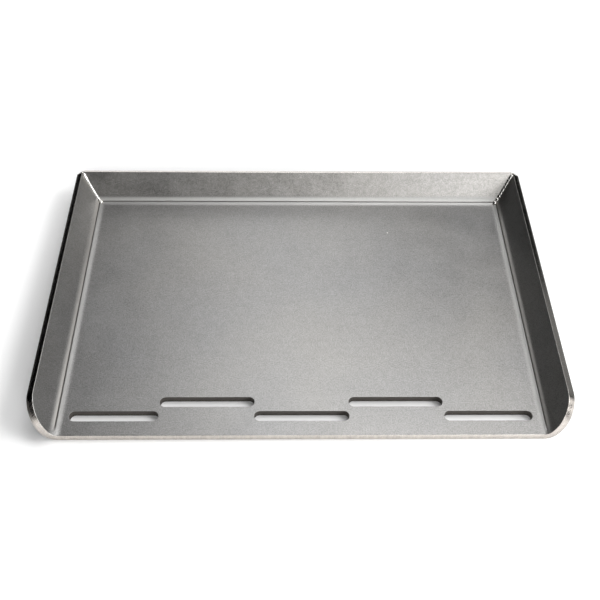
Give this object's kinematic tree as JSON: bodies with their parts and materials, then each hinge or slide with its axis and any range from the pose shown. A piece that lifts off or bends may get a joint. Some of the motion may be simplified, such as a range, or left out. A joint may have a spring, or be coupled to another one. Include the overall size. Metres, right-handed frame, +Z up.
{
  "type": "griddle plate",
  "caption": "Flat steel griddle plate with folded walls on three sides, welded rear corners and staggered drain slots along its open front edge.",
  "frame": {"origin": "middle of the footprint, on the flat underside that the plate rests on", "axes": "+X to the right along the width, +Y from the open front edge to the rear wall, +Z up"},
  "size_m": [0.4204, 0.2768, 0.031],
  "materials": {
    "plate_steel": "bare carbon steel plate, fine blasted grain, satin; bright sharp cut edges with a slight tan tone",
    "weld_metal": "bright as-welded steel, rippled and glossy"
  },
  "bodies": {
    "root": {"griddle_plate": "plate_steel", "left_corner_weld": "weld_metal", "right_corner_weld": "weld_metal", "left_corner_bead": "weld_metal", "right_corner_bead": "weld_metal"}
  },
  "joints": []
}
